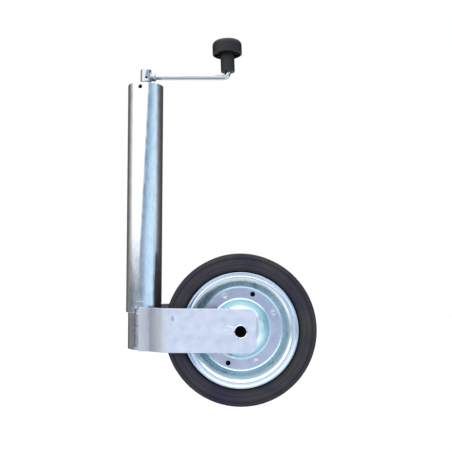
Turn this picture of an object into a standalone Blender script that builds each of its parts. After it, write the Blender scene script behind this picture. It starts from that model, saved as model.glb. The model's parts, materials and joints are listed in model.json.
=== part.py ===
"""Trailer jack wheel: a clamp-type jockey wheel with a screw-driven inner tube and a steel disc wheel.

Metres, +Z up. The origin is on the mast's axis at the middle of the length that the trailer's clamp grips.
+X runs from the mast to the wheel and -Y is the near side. The jack is fully wound up.
"""

import math

import bmesh
import bpy
from mathutils import Vector

MM = 0.001
GAP = 0.3 * MM  # running and seating clearance between separate pieces

# Heights, from the clamp's centre
TUBE_TOP = 131.0 * MM
TUBE_BOTTOM = -178.4 * MM
INNER_TOP = 95.0 * MM
INNER_BOTTOM = -227.5 * MM
AXLE_Z = -200.0 * MM
CRANK_Z = 143.7 * MM

# Mast and inner tube
TUBE_RADIUS = 24.0 * MM
TUBE_BORE = 22.0 * MM
INNER_RADIUS = 21.2 * MM
INNER_BORE = 19.2 * MM
TUBE_SEGMENTS = 48
SHAFT_SEGMENTS = 24
PIN_SEGMENTS = 10
NOTCH_RISE = 9.6 * MM
NOTCH_ARCH = 5.0 * MM
NOTCH_ARCH_X = -0.8 * MM
NOTCH_FRONT = 12.2 * MM
NOTCH_REAR = -10.6 * MM
PLUG_PIN_AZIMUTH = math.radians(9.4)
PLUG_PIN_Z = 125.0 * MM

# Screw
THREAD_RADIUS = 8.0 * MM
NECK_RADIUS = 6.6 * MM
HEAD_RADIUS = 5.0 * MM
FLANGE_RADIUS = 14.0 * MM
FLANGE_TOP = 100.6 * MM
FLANGE_THICKNESS = 3.6 * MM
NUT_LENGTH = 19.0 * MM
SPINDLE_BOTTOM = -117.0 * MM
STOP_PIN_Z = -113.5 * MM
PLUG_BOTTOM = 112.0 * MM
BALL_COUNT = 8
BALL_RADIUS = 2.5 * MM
BALL_CIRCLE = 15.0 * MM
RACE_THICKNESS = 2.5 * MM
RACE_BORE = 9.0 * MM
RACE_RADIUS = 20.0 * MM

# Crank and knob
HUB_RADIUS = 7.4 * MM
HUB_BOTTOM = 136.6 * MM
HUB_TOP = 154.6 * MM
CRANK_PIN_AZIMUTH = math.radians(14)
CRANK_PIN_Z = 142.1 * MM
BAR_HALF_HEIGHT = 3.05 * MM
BAR_HALF_DEPTH = 4.6 * MM
UPRIGHT_RADIUS = 4.15 * MM
BEND_RADIUS = 6.5 * MM
KNOB_X = 113.3 * MM
KNOB_Z = 151.1 * MM
KNOB_HEIGHT = 43.6 * MM
KNOB_TILT = math.radians(2.2)
STEM_RADIUS = 9.6 * MM
KNOB_RADIUS = 20.3 * MM

# Fork
ARM_THICKNESS = 4.0 * MM
ARM_REAR = -3.2 * MM
ARM_FRONT = 152.5 * MM
ARM_TOP = -170.5 * MM
ARM_BOTTOM = -228.1 * MM
ARM_INNER_AT_TUBE = 21.5 * MM
ARM_INNER_AT_WHEEL = 31.0 * MM
JOGGLE_START = 11.8 * MM
JOGGLE_END = 31.9 * MM
ARM_CORNER = 12.0 * MM
WELD_BOTTOM = -226.0 * MM

# Wheel
AXLE_X = 131.8 * MM
AXLE_RADIUS = 8.5 * MM
AXLE_BORE = 6.85 * MM
AXLE_DRILLED = 26.0 * MM
FLARE_RADIUS = 9.3 * MM
TYRE_RADIUS = 101.3 * MM
SHEET = 1.8 * MM
HUB_TUBE_RADIUS = 14.0 * MM
HUB_TUBE_BORE = 12.2 * MM
HUB_TUBE_HALF = 26.5 * MM
BUSH_FLANGE = 2.2 * MM
RIM_HOLE_RADIUS = 3.4 * MM
RIM_HOLE_CIRCLE = 49.2 * MM
RIM_HOLE_PHASE = math.radians(70.5)
WHEEL_SEGMENTS = 48

FACE_NEAR = (math.radians(90), 0, 0)
FACE_FAR = (math.radians(-90), 0, 0)

parts = None
cutters = None


def clear_scene():
    for thing in list(bpy.data.objects):
        bpy.data.objects.remove(thing)


def make_collection(name):
    collection = bpy.data.collections.new(name)
    bpy.context.scene.collection.children.link(collection)
    return collection


def make_material(name, colour, metallic, roughness):
    material = bpy.data.materials.new(name)
    material.use_nodes = True
    shader = material.node_tree.nodes["Principled BSDF"]
    shader.inputs["Base Color"].default_value = (*colour, 1.0)
    shader.inputs["Metallic"].default_value = metallic
    shader.inputs["Roughness"].default_value = roughness
    return material


ZINC = ((0.60, 0.68, 0.76), 1.0, 0.30)
STEEL = ((0.45, 0.45, 0.46), 1.0, 0.40)
RUBBER = ((0.035, 0.035, 0.042), 0.0, 0.75)
PLASTIC = ((0.030, 0.030, 0.032), 0.0, 0.50)
NYLON = ((0.75, 0.74, 0.70), 0.0, 0.45)


def make_empty(name, parent=None, location=(0, 0, 0), rotation=(0, 0, 0)):
    empty = bpy.data.objects.new(name, None)
    empty.empty_display_size = 20 * MM
    empty.parent = parent
    empty.location = location
    empty.rotation_euler = rotation
    parts.objects.link(empty)
    return empty


def add_node(name, mesh, finish, parent, location=(0, 0, 0), rotation=(0, 0, 0)):
    """Puts a mesh in the assembly as one named piece with its own material."""
    node = bpy.data.objects.new(name, mesh)
    node.parent = parent
    node.location = location
    node.rotation_euler = rotation
    mesh.materials.clear()
    mesh.materials.append(make_material(name + "_finish", *finish))
    parts.objects.link(node)
    return node


def smooth(node, angle=35):
    node.data.shade_smooth()
    node.data.set_sharp_from_angle(angle=math.radians(angle))


def profile_mesh(name, points, closed):
    """A profile in the XZ plane as edges, which a Screw modifier turns about Z."""
    mesh = bpy.data.meshes.new(name)
    edges = [(i, i + 1) for i in range(len(points) - 1)]
    if closed:
        edges.append((len(points) - 1, 0))
    mesh.from_pydata([(r, 0, z) for r, z in points], edges, [])
    return mesh


def turned(name, points, finish, parent, segments, closed=True, **place):
    """A turned piece. The profile runs down its outer side and, if closed, up its bore."""
    node = add_node(name, profile_mesh(name, points, closed), finish, parent, **place)
    screw = node.modifiers.new("Turn", "SCREW")
    screw.axis = "Z"
    screw.steps = segments
    screw.render_steps = segments
    screw.use_merge_vertices = True
    screw.merge_threshold = 0.00001
    screw.use_smooth_shade = True
    return node


def ring(name, outer, inner, bottom, top, finish, parent, segments, **place):
    points = [(inner, top), (outer, top), (outer, bottom), (inner, bottom)]
    return turned(name, points, finish, parent, segments, **place)


def hide_cutter(node):
    parts.objects.unlink(node)
    cutters.objects.link(node)
    node.hide_render = True
    node.display_type = "WIRE"


def cut(node, cutter, operation="DIFFERENCE"):
    boolean = node.modifiers.new("Cut", "BOOLEAN")
    boolean.operation = operation
    boolean.object = cutter
    return boolean


def round_cutter(name, radius, depth, location, rotation, segments=16, parent=None):
    mesh = bpy.data.meshes.new(name)
    shape = bmesh.new()
    bmesh.ops.create_cone(
        shape, cap_ends=True, segments=segments, radius1=radius, radius2=radius, depth=depth
    )
    shape.to_mesh(mesh)
    shape.free()
    node = add_node(name, mesh, STEEL, parent, location=location, rotation=rotation)
    hide_cutter(node)
    return node


def prism_mesh(name, outline, half):
    """A flat outline in XY, extruded by half each way along Z."""
    curve = bpy.data.curves.new(name, "CURVE")
    curve.dimensions = "2D"
    curve.fill_mode = "BOTH"
    curve.extrude = half
    spline = curve.splines.new("POLY")
    spline.points.add(len(outline) - 1)
    for point, (x, y) in zip(spline.points, outline):
        point.co = (x, y, 0, 1)
    spline.use_cyclic_u = True
    guide = bpy.data.objects.new(name, curve)
    bpy.context.scene.collection.objects.link(guide)
    depsgraph = bpy.context.evaluated_depsgraph_get()
    mesh = bpy.data.meshes.new_from_object(guide.evaluated_get(depsgraph))
    bpy.data.objects.remove(guide)
    shape = bmesh.new()
    shape.from_mesh(mesh)
    bmesh.ops.remove_doubles(shape, verts=shape.verts, dist=1e-6)
    bmesh.ops.recalc_face_normals(shape, faces=shape.faces)
    shape.to_mesh(mesh)
    shape.free()
    return mesh


def loft_mesh(name, rings):
    """Rings of equal count, joined in turn and closed at both ends."""
    mesh = bpy.data.meshes.new(name)
    shape = bmesh.new()
    loops = [[shape.verts.new(point) for point in loop] for loop in rings]
    for low, high in zip(loops, loops[1:]):
        for i in range(len(low)):
            j = (i + 1) % len(low)
            shape.faces.new((low[i], low[j], high[j], high[i]))
    shape.faces.new(loops[0])
    shape.faces.new(loops[-1])
    bmesh.ops.recalc_face_normals(shape, faces=shape.faces)
    shape.to_mesh(mesh)
    shape.free()
    return mesh


def arc(centre, radius, start, stop, count):
    """Points of an arc, in degrees, both ends included."""
    steps = [math.radians(start + (stop - start) * i / (count - 1)) for i in range(count)]
    return [(centre[0] + radius * math.cos(a), centre[1] + radius * math.sin(a)) for a in steps]


def offset_line(points, distance):
    """The line moved sideways by distance, to the left of its direction, with mitred corners."""
    moved = []
    for i, (x, y) in enumerate(points):
        before = Vector(points[i]) - Vector(points[i - 1]) if i else None
        after = Vector(points[i + 1]) - Vector(points[i]) if i + 1 < len(points) else None
        first = (before or after).normalized()
        second = (after or before).normalized()
        side = Vector((-first.y, first.x)) + Vector((-second.y, second.x))
        side /= 1 + first.dot(second)
        moved.append((x + side.x * distance, y + side.y * distance))
    return moved


def radial_rotation(azimuth):
    """Lays a Z-axis piece along the horizontal line from the near side, turned by azimuth."""
    return (math.radians(90), 0, azimuth)


def outer_tube(mast):
    tube = ring(
        "outer_tube", TUBE_RADIUS, TUBE_BORE, TUBE_BOTTOM, TUBE_TOP, ZINC, mast, TUBE_SEGMENTS
    )
    arch_base = TUBE_BOTTOM + NOTCH_RISE
    below = TUBE_BOTTOM - 2 * MM
    arch = arc((NOTCH_ARCH_X, arch_base + 0.6 * MM), NOTCH_ARCH, 180, 0, 7)
    outline = [(NOTCH_FRONT, below), (NOTCH_REAR, below), (NOTCH_REAR, TUBE_BOTTOM)]
    outline += arch + [(NOTCH_FRONT, arch_base)]
    notch = add_node("notch_cutter", prism_mesh("notch_cutter", outline, 30 * MM), STEEL, None)
    notch.rotation_euler = FACE_NEAR
    hide_cutter(notch)
    cut(tube, notch)
    bore = round_cutter(
        "plug_pin_cutter", 2.85 * MM, 60 * MM, (0, 0, PLUG_PIN_Z), radial_rotation(-PLUG_PIN_AZIMUTH)
    )
    cut(tube, bore)
    plug = turned(
        "top_plug",
        [
            (NECK_RADIUS + GAP, TUBE_TOP - 0.8 * MM),
            (TUBE_BORE - 1.3 * MM, TUBE_TOP - 0.8 * MM),
            (TUBE_BORE - GAP, TUBE_TOP - 1.8 * MM),
            (TUBE_BORE - GAP, PLUG_BOTTOM),
            (NECK_RADIUS + GAP, PLUG_BOTTOM),
        ],
        STEEL,
        mast,
        TUBE_SEGMENTS,
    )
    cut(plug, bore)
    for side, turn in (("near", 0), ("far", math.pi)):
        azimuth = turn - PLUG_PIN_AZIMUTH
        ring(
            "plug_pin_" + side, 2.45 * MM, 1.2 * MM, 11 * MM, 21.0 * MM, STEEL, mast, PIN_SEGMENTS,
            location=(0, 0, PLUG_PIN_Z), rotation=radial_rotation(azimuth),
        )


def bearing(mast, spindle, cage):
    """Thrust bearing between the plug and the spindle's flange."""
    lower = FLANGE_TOP + GAP
    centre = lower + RACE_THICKNESS + GAP + BALL_RADIUS
    upper = centre + BALL_RADIUS + GAP
    ring("bearing_race_upper", RACE_RADIUS, RACE_BORE, upper, PLUG_BOTTOM - GAP, STEEL, mast, SHAFT_SEGMENTS)
    ring(
        "bearing_race_lower", RACE_RADIUS, RACE_BORE, lower, lower + RACE_THICKNESS, STEEL, spindle,
        SHAFT_SEGMENTS,
    )
    half = 0.9 * MM
    plate = ring(
        "ball_cage", BALL_CIRCLE + 4 * MM, BALL_CIRCLE - 4 * MM, centre - half, centre + half,
        STEEL, cage, SHAFT_SEGMENTS,
    )
    mesh = bpy.data.meshes.new("ball")
    shape = bmesh.new()
    bmesh.ops.create_uvsphere(shape, u_segments=8, v_segments=6, radius=BALL_RADIUS)
    shape.to_mesh(mesh)
    shape.free()
    for i in range(BALL_COUNT):
        turn = 2 * math.pi * i / BALL_COUNT
        spot = (BALL_CIRCLE * math.cos(turn), BALL_CIRCLE * math.sin(turn), centre)
        pocket = round_cutter(f"pocket_cutter_{i + 1}", BALL_RADIUS + GAP, 4 * MM, spot, (0, 0, turn), 11)
        cut(plate, pocket)
        ball = add_node(f"ball_{i + 1}", mesh.copy(), STEEL, cage, location=spot)
        smooth(ball, 80)


def screw_parts(spindle, fork):
    flange_bottom = FLANGE_TOP - FLANGE_THICKNESS
    head_top = HUB_TOP - 0.6 * MM
    shaft = turned(
        "spindle",
        [
            (0, head_top),
            (HEAD_RADIUS - 0.8 * MM, head_top),
            (HEAD_RADIUS, head_top - 0.8 * MM),
            (HEAD_RADIUS, HUB_BOTTOM - GAP),
            (NECK_RADIUS, HUB_BOTTOM - GAP),
            (NECK_RADIUS, FLANGE_TOP),
            (FLANGE_RADIUS, FLANGE_TOP),
            (FLANGE_RADIUS, flange_bottom),
            (THREAD_RADIUS, flange_bottom),
            (THREAD_RADIUS, SPINDLE_BOTTOM + 1.5 * MM),
            (THREAD_RADIUS - 1.5 * MM, SPINDLE_BOTTOM),
            (0, SPINDLE_BOTTOM),
        ],
        ZINC,
        spindle,
        SHAFT_SEGMENTS,
        closed=False,
    )
    washer_top = SPINDLE_BOTTOM + 9.0 * MM
    washer_bottom = washer_top - 3 * MM
    ring(
        "stop_washer", 13 * MM, THREAD_RADIUS + GAP, washer_bottom, washer_top, ZINC, spindle, SHAFT_SEGMENTS
    )
    stop_bore = round_cutter(
        "stop_pin_cutter", 1.9 * MM, 40 * MM, (0, 0, STOP_PIN_Z), FACE_NEAR, PIN_SEGMENTS
    )
    cut(shaft, stop_bore)
    ring(
        "stop_pin", 1.55 * MM, 0.7 * MM, -11 * MM, 11 * MM, STEEL, spindle, PIN_SEGMENTS,
        location=(0, 0, STOP_PIN_Z), rotation=FACE_NEAR,
    )
    ring(
        "spindle_nut", INNER_BORE - GAP, THREAD_RADIUS + GAP, INNER_TOP - NUT_LENGTH - MM,
        INNER_TOP - MM, STEEL, fork, SHAFT_SEGMENTS,
    )
    return shaft


def bar_ring(centre, heading, half_height, half_depth, count=14):
    """One elliptical section of the crank bar, square to its heading in the XZ plane."""
    up = Vector((-heading.z, 0, heading.x))
    loop = []
    for i in range(count):
        turn = 2 * math.pi * i / count
        loop.append(centre + up * half_height * math.cos(turn) + Vector((0, half_depth * math.sin(turn), 0)))
    return loop


def crank_weld(spindle):
    """The fillet weld between the hub and the bar: it climbs the hub above the bar and hangs below it."""
    stations = [
        (4.8, 10.2, 6.6, 4.6), (7.0, 8.4, 6.0, 5.1), (8.6, 5.0, 5.0, 5.2), (9.6, 4.4, 5.0, 5.3),
        (11.6, 5.0, 5.8, 5.8), (13.2, 4.3, 5.0, 5.5), (14.4, 3.6, 3.8, 5.1),
    ]
    along = Vector((1, 0, 0))
    rings = []
    for x, above, below, depth in stations:
        centre = Vector((x * MM, 0, CRANK_Z + (above - below) / 2 * MM))
        rings.append(bar_ring(centre, along, (above + below) / 2 * MM, depth * MM))
    weld = add_node("crank_weld", loft_mesh("crank_weld", rings), ZINC, spindle)
    ends = [Vector((x * MM, 0, CRANK_Z)) for x in (3, 18)]
    sleeve = [bar_ring(end, along, BAR_HALF_HEIGHT + GAP, BAR_HALF_DEPTH + GAP) for end in ends]
    passage = add_node("weld_cutter", loft_mesh("weld_cutter", sleeve), STEEL, None)
    hide_cutter(passage)
    cut(weld, passage)
    around_hub = HUB_RADIUS + GAP
    cut(weld, round_cutter("hub_cutter", around_hub, 60 * MM, (0, 0, CRANK_Z), (0, 0, 0), SHAFT_SEGMENTS))


def crank(spindle, shaft):
    pin_turn = radial_rotation(CRANK_PIN_AZIMUTH)
    hub = turned(
        "crank_hub",
        [
            (HEAD_RADIUS + GAP, HUB_TOP),
            (HUB_RADIUS - 0.7 * MM, HUB_TOP),
            (HUB_RADIUS, HUB_TOP - 0.7 * MM),
            (HUB_RADIUS, HUB_BOTTOM),
            (HEAD_RADIUS + GAP, HUB_BOTTOM),
        ],
        ZINC,
        spindle,
        SHAFT_SEGMENTS,
    )
    pin_bore = round_cutter(
        "crank_pin_cutter", 2.1 * MM, 30 * MM, (0, 0, CRANK_PIN_Z), pin_turn, PIN_SEGMENTS
    )
    cut(hub, pin_bore)
    cut(shaft, pin_bore)
    ring(
        "crank_pin", 1.75 * MM, 0.8 * MM, -6.6 * MM, 6.6 * MM, STEEL, spindle, PIN_SEGMENTS,
        location=(0, 0, CRANK_PIN_Z), rotation=pin_turn,
    )
    crank_weld(spindle)
    along = Vector((1, 0, 0))
    turn_total = math.pi / 2 + KNOB_TILT
    upright = Vector((-math.sin(KNOB_TILT), 0, math.cos(KNOB_TILT)))
    bend_end = Vector((math.sin(turn_total), 0, 1 - math.cos(turn_total))) * BEND_RADIUS
    rise = (KNOB_Z - CRANK_Z - bend_end.z) / upright.z
    bend_start = Vector((KNOB_X - upright.x * rise - bend_end.x, 0, CRANK_Z))
    rings = [bar_ring(Vector((HUB_RADIUS + 0.4 * MM, 0, CRANK_Z)), along, BAR_HALF_HEIGHT, BAR_HALF_DEPTH)]
    bends = 6
    for i in range(bends + 1):
        turn = turn_total * i / bends
        share = i / bends
        heading = Vector((math.cos(turn), 0, math.sin(turn)))
        centre = bend_start + Vector((math.sin(turn), 0, 1 - math.cos(turn))) * BEND_RADIUS
        half_height = BAR_HALF_HEIGHT + (UPRIGHT_RADIUS - BAR_HALF_HEIGHT) * share
        half_depth = BAR_HALF_DEPTH + (UPRIGHT_RADIUS - BAR_HALF_DEPTH) * share
        rings.append(bar_ring(centre, heading, half_height, half_depth))
    tip = Vector((KNOB_X, 0, KNOB_Z)) + upright * 33 * MM
    rings.append(bar_ring(tip, upright, UPRIGHT_RADIUS, UPRIGHT_RADIUS))
    arm = add_node("crank_arm", loft_mesh("crank_arm", rings), ZINC, spindle)
    smooth(arm, 50)
    ring(
        "knob_retainer", 7.0 * MM, UPRIGHT_RADIUS + GAP, 28.6 * MM, 30.0 * MM, STEEL, spindle, 16,
        location=(KNOB_X, 0, KNOB_Z), rotation=(0, -KNOB_TILT, 0),
    )


def knob(knob_axis):
    """Mushroom knob, hollow under its head, with a bore that widens over the retainer."""
    bore = UPRIGHT_RADIUS + GAP
    pocket = 7.6 * MM
    turned(
        "knob",
        [
            (0, KNOB_HEIGHT),
            (13.0 * MM, KNOB_HEIGHT),
            (17.2 * MM, 42.0 * MM),
            (KNOB_RADIUS, 37.4 * MM),
            (KNOB_RADIUS, 24.2 * MM),
            (KNOB_RADIUS - 1.8 * MM, 23.2 * MM),
            (KNOB_RADIUS - 3.2 * MM, 35.0 * MM),
            (11.9 * MM, 36.5 * MM),
            (STEM_RADIUS + 0.4 * MM, 24.0 * MM),
            (STEM_RADIUS, 0),
            (bore, 0),
            (bore, 26.8 * MM),
            (pocket, 27.6 * MM),
            (pocket, 35.0 * MM),
            (0, 35.0 * MM),
        ],
        PLASTIC,
        knob_axis,
        SHAFT_SEGMENTS,
        closed=False,
    )


def inner_tube(fork):
    ring("inner_tube", INNER_RADIUS, INNER_BORE, INNER_BOTTOM, INNER_TOP, ZINC, fork, TUBE_SEGMENTS)


def arm_path():
    """The arm's inner face in plan, from its rear end to its tip, as (x, distance from the mid-plane)."""
    slope = math.atan2(ARM_INNER_AT_WHEEL - ARM_INNER_AT_TUBE, JOGGLE_END - JOGGLE_START)
    ease = 2.2 * MM
    rise = Vector((math.cos(slope), math.sin(slope))) * ease
    return [
        (ARM_REAR, ARM_INNER_AT_TUBE),
        (JOGGLE_START - ease, ARM_INNER_AT_TUBE),
        (JOGGLE_START + rise.x, ARM_INNER_AT_TUBE + rise.y),
        (JOGGLE_END - rise.x, ARM_INNER_AT_WHEEL - rise.y),
        (JOGGLE_END + ease, ARM_INNER_AT_WHEEL),
        (ARM_FRONT, ARM_INNER_AT_WHEEL),
    ]


def fork_arm(name, side, fork):
    """A joggled strip. side is -1 for the near arm and 1 for the far one."""
    middle = (ARM_TOP + ARM_BOTTOM) / 2
    half = (ARM_TOP - ARM_BOTTOM) / 2
    inner = arm_path()
    outline = [(x, side * y) for x, y in inner + offset_line(inner, ARM_THICKNESS)[::-1]]
    arm = add_node(name, prism_mesh(name, outline, half), ZINC, fork, location=(0, 0, middle))
    tip = ARM_FRONT - ARM_CORNER
    corners = arc((tip, half - ARM_CORNER), ARM_CORNER, 90, 0, 6)
    corners += arc((tip, ARM_CORNER - half), ARM_CORNER, 0, -90, 6)
    face = [(ARM_REAR - MM, -half - MM), (ARM_REAR - MM, half + MM), (tip - 20 * MM, half + MM)]
    face += [(tip - 20 * MM, half)] + corners + [(tip - 20 * MM, -half), (tip - 20 * MM, -half - MM)]
    trim = add_node(name + "_trim", prism_mesh(name + "_trim", face, 45 * MM), STEEL, None)
    trim.location = (0, 0, middle)
    trim.rotation_euler = FACE_NEAR
    hide_cutter(trim)
    cut(arm, trim, "INTERSECT")
    bore = round_cutter(
        name + "_bore", AXLE_RADIUS + GAP, 90 * MM, (AXLE_X, 0, AXLE_Z), FACE_NEAR, SHAFT_SEGMENTS
    )
    cut(arm, bore)
    smooth(arm, 25)


def weld_beads(side_name, side, fork):
    """The two fillets that join an arm to the inner tube, behind it and inside its joggle."""
    edge = ARM_REAR - GAP
    rear = [
        (edge, 25.0 * MM),
        (-6.3 * MM, 23.8 * MM),
        (-9.8 * MM, 19.5 * MM),
        (-6.6 * MM, 20.6 * MM),
        (edge, 21.5 * MM),
    ]
    narrow = [
        (edge, 24.6 * MM),
        (-4.9 * MM, 23.8 * MM),
        (-6.4 * MM, 20.9 * MM),
        (-5.0 * MM, 21.3 * MM),
        (edge, 21.6 * MM),
    ]
    sections = [(rear, WELD_BOTTOM), (rear, TUBE_BOTTOM + 0.6 * MM), (narrow, ARM_TOP - 1.5 * MM)]
    rings = [[Vector((x, side * y, z)) for x, y in outline] for outline, z in sections]
    add_node("weld_rear_" + side_name, loft_mesh("weld_rear", rings), ZINC, fork)
    front = [(7.5 * MM, 21.2 * MM), (12.6 * MM, 21.2 * MM), (12.3 * MM, 18.1 * MM), (7.5 * MM, 20.4 * MM)]
    heights = (WELD_BOTTOM, TUBE_BOTTOM - 2 * MM)
    rings = [[Vector((x, side * y, z)) for x, y in front] for z in heights]
    add_node("weld_front_" + side_name, loft_mesh("weld_front", rings), ZINC, fork)


def axle(fork):
    """A bar drilled at both ends, whose thin ends are flared over the arms like a rivet's."""
    half = ARM_INNER_AT_WHEEL + ARM_THICKNESS
    end = [
        (0, half - AXLE_DRILLED + 3 * MM),
        (AXLE_BORE, half - AXLE_DRILLED + 6 * MM),
        (AXLE_BORE, half - MM),
        (AXLE_BORE + 1.0 * MM, half + 1.7 * MM),
        (FLARE_RADIUS - 0.6 * MM, half + 2.0 * MM),
        (FLARE_RADIUS, half + 1.2 * MM),
        (FLARE_RADIUS - 0.3 * MM, half + 0.5 * MM),
        (AXLE_RADIUS, half - 0.4 * MM),
    ]
    points = end + [(r, -z) for r, z in end[::-1]]
    turned(
        "axle", points, ZINC, fork, SHAFT_SEGMENTS, closed=False, location=(AXLE_X, 0, AXLE_Z),
        rotation=FACE_NEAR,
    )
    inside = HUB_TUBE_HALF + BUSH_FLANGE + 2 * GAP
    for side, facing in (("near", FACE_NEAR), ("far", FACE_FAR)):
        ring(
            "axle_spacer_" + side, 12.5 * MM, AXLE_RADIUS + GAP, inside, ARM_INNER_AT_WHEEL - GAP,
            ZINC, fork, SHAFT_SEGMENTS, location=(AXLE_X, 0, AXLE_Z), rotation=facing,
        )


def rim_face():
    """The outward side of a rim disc, from its rolled edge to the hub, as (radius, height)."""
    outline = [
        (77.3, 21.0), (75.6, 22.2), (72.6, 20.9), (69.0, 20.8), (65.6, 18.2), (58.0, 6.2), (55.6, 4.6),
        (40.8, 4.6), (38.2, 6.4), (31.0, 14.6), (25.5, 17.6), (14.4, 18.0),
    ]
    return [(r * MM, z * MM) for r, z in outline]


def wheel(wheel_axis):
    face = rim_face()
    back = offset_line(face, SHEET)
    for side, facing, mirror in (("near", FACE_NEAR, 1), ("far", FACE_FAR, -1)):
        disc = turned("rim_" + side, face[::-1] + back, ZINC, wheel_axis, WHEEL_SEGMENTS, rotation=facing)
        for turn in (RIM_HOLE_PHASE, RIM_HOLE_PHASE + math.pi):
            spot = Vector((
                mirror * RIM_HOLE_CIRCLE * math.cos(turn), -mirror * 5 * MM, RIM_HOLE_CIRCLE * math.sin(turn)
            ))
            hole = round_cutter(
                "rim_cutter", RIM_HOLE_RADIUS, 9 * MM, spot, FACE_NEAR, 12, parent=wheel_axis
            )
            cut(disc, hole)
        inside = 6 * MM
        turned(
            "hub_bush_" + side,
            [
                (AXLE_RADIUS + GAP, HUB_TUBE_HALF + GAP + BUSH_FLANGE),
                (HUB_TUBE_RADIUS, HUB_TUBE_HALF + GAP + BUSH_FLANGE),
                (HUB_TUBE_RADIUS, HUB_TUBE_HALF + GAP),
                (HUB_TUBE_BORE - GAP, HUB_TUBE_HALF + GAP),
                (HUB_TUBE_BORE - GAP, inside),
                (AXLE_RADIUS + GAP, inside),
            ],
            NYLON, wheel_axis, SHAFT_SEGMENTS, rotation=facing,
        )
    ring(
        "hub_tube", HUB_TUBE_RADIUS, HUB_TUBE_BORE, -HUB_TUBE_HALF, HUB_TUBE_HALF, ZINC, wheel_axis,
        SHAFT_SEGMENTS, rotation=FACE_NEAR,
    )
    half = [
        (TYRE_RADIUS / MM, 19.4), (100.2, 22.4), (97.2, 24.4), (92.0, 25.0), (84.0, 25.0), (79.6, 24.2),
        (78.3, 22.4), (78.2, 18.4), (69.8, 18.4), (68.4, 17.0), (67.9, 14.0),
    ]
    points = [(r * MM, -z * MM) for r, z in half]
    points += [(r * MM, z * MM) for r, z in half[::-1]]
    lowest_facet = math.pi / WHEEL_SEGMENTS
    turned(
        "tyre", points, RUBBER, wheel_axis, WHEEL_SEGMENTS, rotation=(math.radians(90), lowest_facet, 0)
    )


def build():
    global parts, cutters
    clear_scene()
    parts = make_collection("trailer_jack_wheel")
    cutters = make_collection("cutters")
    assembly = make_empty("assembly")
    mast = make_empty("mast", assembly)
    spindle = make_empty("spindle_axis", assembly)
    cage = make_empty("cage_axis", assembly)
    fork = make_empty("fork_slide", assembly)
    knob_axis = make_empty("knob_axis", spindle, (KNOB_X, 0, KNOB_Z), (0, -KNOB_TILT, 0))
    wheel_axis = make_empty("wheel_axis", fork, (AXLE_X, 0, AXLE_Z))
    outer_tube(mast)
    bearing(mast, spindle, cage)
    shaft = screw_parts(spindle, fork)
    crank(spindle, shaft)
    knob(knob_axis)
    inner_tube(fork)
    for side_name, side in (("near", -1), ("far", 1)):
        fork_arm("fork_arm_" + side_name, side, fork)
        weld_beads(side_name, side, fork)
    axle(fork)
    wheel(wheel_axis)


build()
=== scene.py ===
"""Looks of the trailer jack wheel: zinc-plated mast, fork and disc wheel, solid tyre and moulded knob."""
import json
import math

import bmesh
import bpy
from mathutils import Matrix, Vector, noise


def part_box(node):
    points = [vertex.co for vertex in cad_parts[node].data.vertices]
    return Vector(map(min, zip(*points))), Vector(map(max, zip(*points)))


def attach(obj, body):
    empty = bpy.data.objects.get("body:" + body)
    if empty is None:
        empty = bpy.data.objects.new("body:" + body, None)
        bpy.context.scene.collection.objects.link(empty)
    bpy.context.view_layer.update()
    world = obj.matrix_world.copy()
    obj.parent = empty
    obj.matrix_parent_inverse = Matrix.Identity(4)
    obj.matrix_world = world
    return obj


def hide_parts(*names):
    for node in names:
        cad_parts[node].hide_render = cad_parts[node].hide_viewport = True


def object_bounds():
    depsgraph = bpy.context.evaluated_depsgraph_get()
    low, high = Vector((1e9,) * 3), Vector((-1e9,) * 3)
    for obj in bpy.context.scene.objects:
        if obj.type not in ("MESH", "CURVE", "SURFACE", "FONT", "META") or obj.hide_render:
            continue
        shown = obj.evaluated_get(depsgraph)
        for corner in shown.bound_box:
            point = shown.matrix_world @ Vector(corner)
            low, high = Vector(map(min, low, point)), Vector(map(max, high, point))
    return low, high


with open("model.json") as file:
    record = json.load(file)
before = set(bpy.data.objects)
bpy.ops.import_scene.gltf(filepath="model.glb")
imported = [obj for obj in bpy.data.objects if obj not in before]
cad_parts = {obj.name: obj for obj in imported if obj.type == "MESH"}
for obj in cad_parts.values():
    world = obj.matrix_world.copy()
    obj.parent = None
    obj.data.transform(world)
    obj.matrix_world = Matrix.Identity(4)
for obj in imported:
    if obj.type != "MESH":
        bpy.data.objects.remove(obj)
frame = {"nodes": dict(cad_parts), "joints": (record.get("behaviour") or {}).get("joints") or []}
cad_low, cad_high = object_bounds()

MM = 0.001
TURN = 2 * math.pi


# ---------------------------------------------------------------- places read from the frame

def middle(node):
    low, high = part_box(node)
    return (low + high) / 2


def size(node):
    low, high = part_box(node)
    return high - low


JOINTS = {joint["name"]: joint for joint in frame["joints"]}
AXLE = Vector(JOINTS["wheel_spin"]["pos_m"])
KNOB_FOOT = Vector(JOINTS["knob_spin"]["pos_m"])
KNOB_AXIS = Vector(JOINTS["knob_spin"]["axis"]).normalized()
CRANK_Z = JOINTS["crank_turn"]["pos_m"][2]
TUBE_LOW, TUBE_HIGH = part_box("outer_tube")
INNER_LOW, INNER_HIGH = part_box("inner_tube")
ARM_LOW, ARM_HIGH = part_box("fork_arm_near")
STROKE = JOINTS["jack_slide"]["range_m"][1]
GROUND = cad_low.z - STROKE
BALL_CIRCLE = middle("ball_1").xy.length / MM
BALL_COUNT = sum(name.startswith("ball_") and name[5:].isdigit() for name in frame["nodes"])

LOOK_NEAR = Matrix.Rotation(math.radians(90), 4, "X")
LOOK_FAR = Matrix.Rotation(math.radians(-90), 4, "X")
MADE = []


# ---------------------------------------------------------------- camera

CAMERA_PLACE = Vector((126.4, -799.6, -88.7)) * MM
CAMERA_LENS = 46.6
CAMERA_SENSOR = 36
CAMERA_PITCH = math.radians(1.96)
CAMERA_YAW = math.radians(-1.06)
CAMERA_ROLL = math.radians(0.25)


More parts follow.
